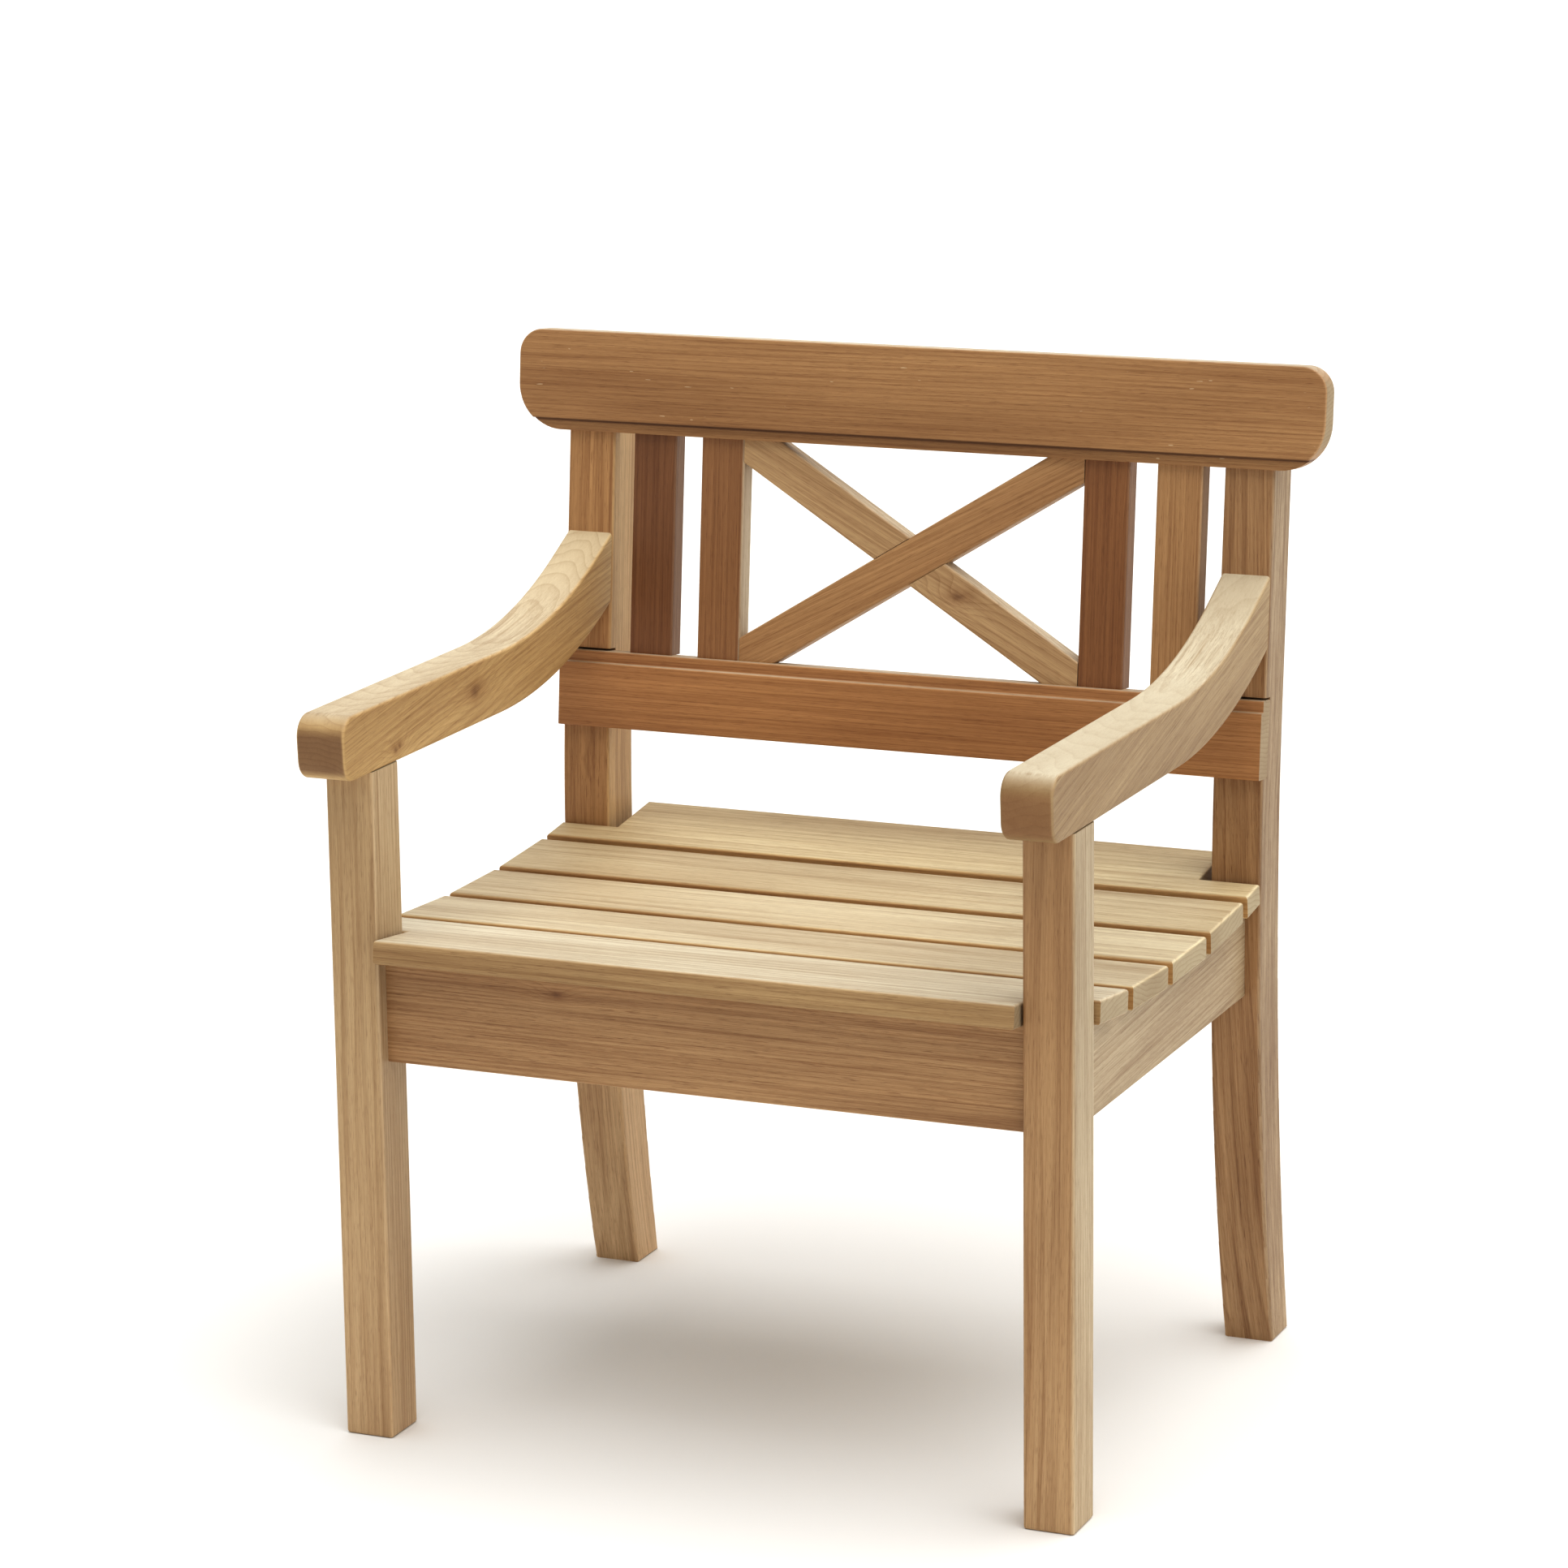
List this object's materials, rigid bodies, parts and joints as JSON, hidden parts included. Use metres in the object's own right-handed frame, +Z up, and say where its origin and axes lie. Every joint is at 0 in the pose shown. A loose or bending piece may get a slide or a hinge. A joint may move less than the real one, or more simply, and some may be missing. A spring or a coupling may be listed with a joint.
{
  "type": "garden armchair",
  "caption": "Slatted teak garden armchair: dished slat seat, leaning back with upright slats and a diagonal cross, sweeping arms and a rounded crest rail.",
  "frame": {"origin": "middle of the chair's overall width and depth, on the floor", "axes": "+X to the viewer's right as seen from the front, +Y from the front to the back, +Z up"},
  "size_m": [0.742, 0.5861, 0.8598],
  "materials": {
    "legs": "front and back legs: planed teak, oiled, mid honey tan",
    "arms": "armrests: planed teak, oiled, pale on top with cathedral figure",
    "seat": "seat slats: planed pale straw teak, fine straight grain",
    "rails": "seat rails: planed teak, mid brown with straight grain",
    "crest": "crest rail: planed teak, mid brown, fine ribbon grain",
    "lower_rail": "lower back rail: planed teak, reddish brown, straight grain",
    "back_slats": "upright back slats: planed teak, dark to mid brown",
    "cross": "diagonal cross bars: planed teak, mid tan",
    "dowels": "turned hardwood dowels and plugs, unfinished",
    "screws": "stainless countersunk wood screws, satin"
  },
  "bodies": {
    "root": {"front_leg_left": "legs", "front_leg_right": "legs", "back_leg_left": "legs", "back_leg_right": "legs", "armrest_left": "arms", "armrest_right": "arms", "side_seat_rail_left": "rails", "side_seat_rail_right": "rails", "front_seat_rail": "rails", "back_seat_rail": "rails", "seat_slat_1": "seat", "seat_slat_2": "seat", "seat_slat_3": "seat", "seat_slat_4": "seat", "seat_slat_5": "seat", "lower_back_rail": "lower_rail", "crest_rail": "crest", "back_slat_1": "back_slats", "back_slat_2": "back_slats", "back_slat_3": "back_slats", "back_slat_4": "back_slats", "back_cross_rising": "cross", "back_cross_falling": "cross", "back_cross_dowels": "dowels", "back_cross_screw": "screws", "seat_dowels": "dowels", "back_rail_screws": "screws", "armrest_screws": "screws", "armrest_plugs": "dowels"}
  },
  "joints": []
}
